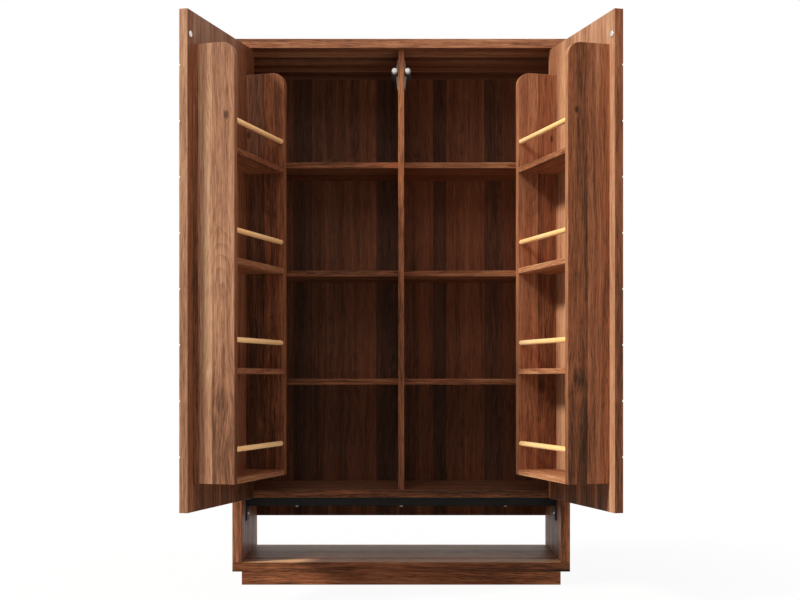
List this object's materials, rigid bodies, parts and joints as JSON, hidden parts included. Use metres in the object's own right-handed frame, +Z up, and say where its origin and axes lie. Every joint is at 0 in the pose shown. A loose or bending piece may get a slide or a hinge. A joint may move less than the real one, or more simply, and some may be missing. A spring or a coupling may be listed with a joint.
{
  "type": "tall buffet cabinet",
  "caption": "Tall kitchen buffet cabinet in walnut with inner shelves, racks with brass rods on its inset doors, push latches and an open niche above a plinth.",
  "frame": {"origin": "on the floor, at the middle of the cabinet's footprint", "axes": "+Z up, -Y out of the open front, +X to the right of someone facing the front"},
  "size_m": [1.0544, 0.7703, 1.455],
  "materials": {
    "walnut": "walnut veneer under satin lacquer, with the grain upright on upright boards and level on level ones",
    "satin_brass": "satin brass",
    "black_steel": "matt black powder coat",
    "bright_steel": "bright zinc-plated steel",
    "grey_plastic": "moulded grey plastic",
    "white_nylon": "smooth white nylon"
  },
  "bodies": {
    "cabinet": {"top_panel": "walnut", "left_side_panel": "walnut", "right_side_panel": "walnut", "base_panel": "walnut", "plinth_front": "walnut", "plinth_back": "walnut", "plinth_left_end": "walnut", "plinth_right_end": "walnut", "plinth_brace": "walnut", "bottom_panel": "walnut", "center_divider": "walnut", "back_panel": "walnut", "left_shelf_1": "walnut", "left_shelf_2": "walnut", "left_shelf_3": "walnut", "right_shelf_1": "walnut", "right_shelf_2": "walnut", "right_shelf_3": "walnut", "support_bar": "black_steel", "bar_screw_left": "bright_steel", "bar_screw_center": "bright_steel", "bar_screw_right": "bright_steel", "left_bar_end_screw": "bright_steel", "right_bar_end_screw": "bright_steel", "left_top_pivot": "bright_steel", "left_bottom_pivot": "black_steel", "left_latch_housing": "grey_plastic", "right_top_pivot": "bright_steel", "right_bottom_pivot": "black_steel", "right_latch_housing": "grey_plastic"},
    "left_door": {"left_door_panel": "walnut", "left_top_bush": "satin_brass", "left_bottom_bush": "satin_brass", "left_strike": "bright_steel", "left_rack_hinge_side": "walnut", "left_rack_meeting_side": "walnut", "left_rack_shelf_1": "walnut", "left_rack_shelf_2": "walnut", "left_rack_shelf_3": "walnut", "left_rack_shelf_4": "walnut", "left_rack_rod_1": "satin_brass", "left_rack_rod_2": "satin_brass", "left_rack_rod_3": "satin_brass", "left_rack_rod_4": "satin_brass"},
    "left_plunger": {"left_latch_plunger": "white_nylon"},
    "right_door": {"right_door_panel": "walnut", "right_top_bush": "satin_brass", "right_bottom_bush": "satin_brass", "right_strike": "bright_steel", "right_rack_hinge_side": "walnut", "right_rack_meeting_side": "walnut", "right_rack_shelf_1": "walnut", "right_rack_shelf_2": "walnut", "right_rack_shelf_3": "walnut", "right_rack_shelf_4": "walnut", "right_rack_rod_1": "satin_brass", "right_rack_rod_2": "satin_brass", "right_rack_rod_3": "satin_brass", "right_rack_rod_4": "satin_brass"},
    "right_plunger": {"right_latch_plunger": "white_nylon"}
  },
  "joints": [
    {"name": "left_door_swing", "type": "hinge", "parent": "cabinet", "child": "left_door", "pos_m": [-0.411, -0.182, 0.23], "axis": [0, 0, 1], "range_deg": [0, 105.4]},
    {"name": "right_door_swing", "type": "hinge", "parent": "cabinet", "child": "right_door", "pos_m": [0.411, -0.182, 0.23], "axis": [0, 0, -1], "range_deg": [0, 105.4]},
    {"name": "left_latch_push", "type": "slide", "parent": "cabinet", "child": "left_plunger", "axis": [0, 1, 0], "range_m": [0, 0.004], "stiffness_N_per_m": 400, "springref_m": -0.003},
    {"name": "right_latch_push", "type": "slide", "parent": "cabinet", "child": "right_plunger", "axis": [0, 1, 0], "range_m": [0, 0.004], "stiffness_N_per_m": 400, "springref_m": -0.003}
  ]
}
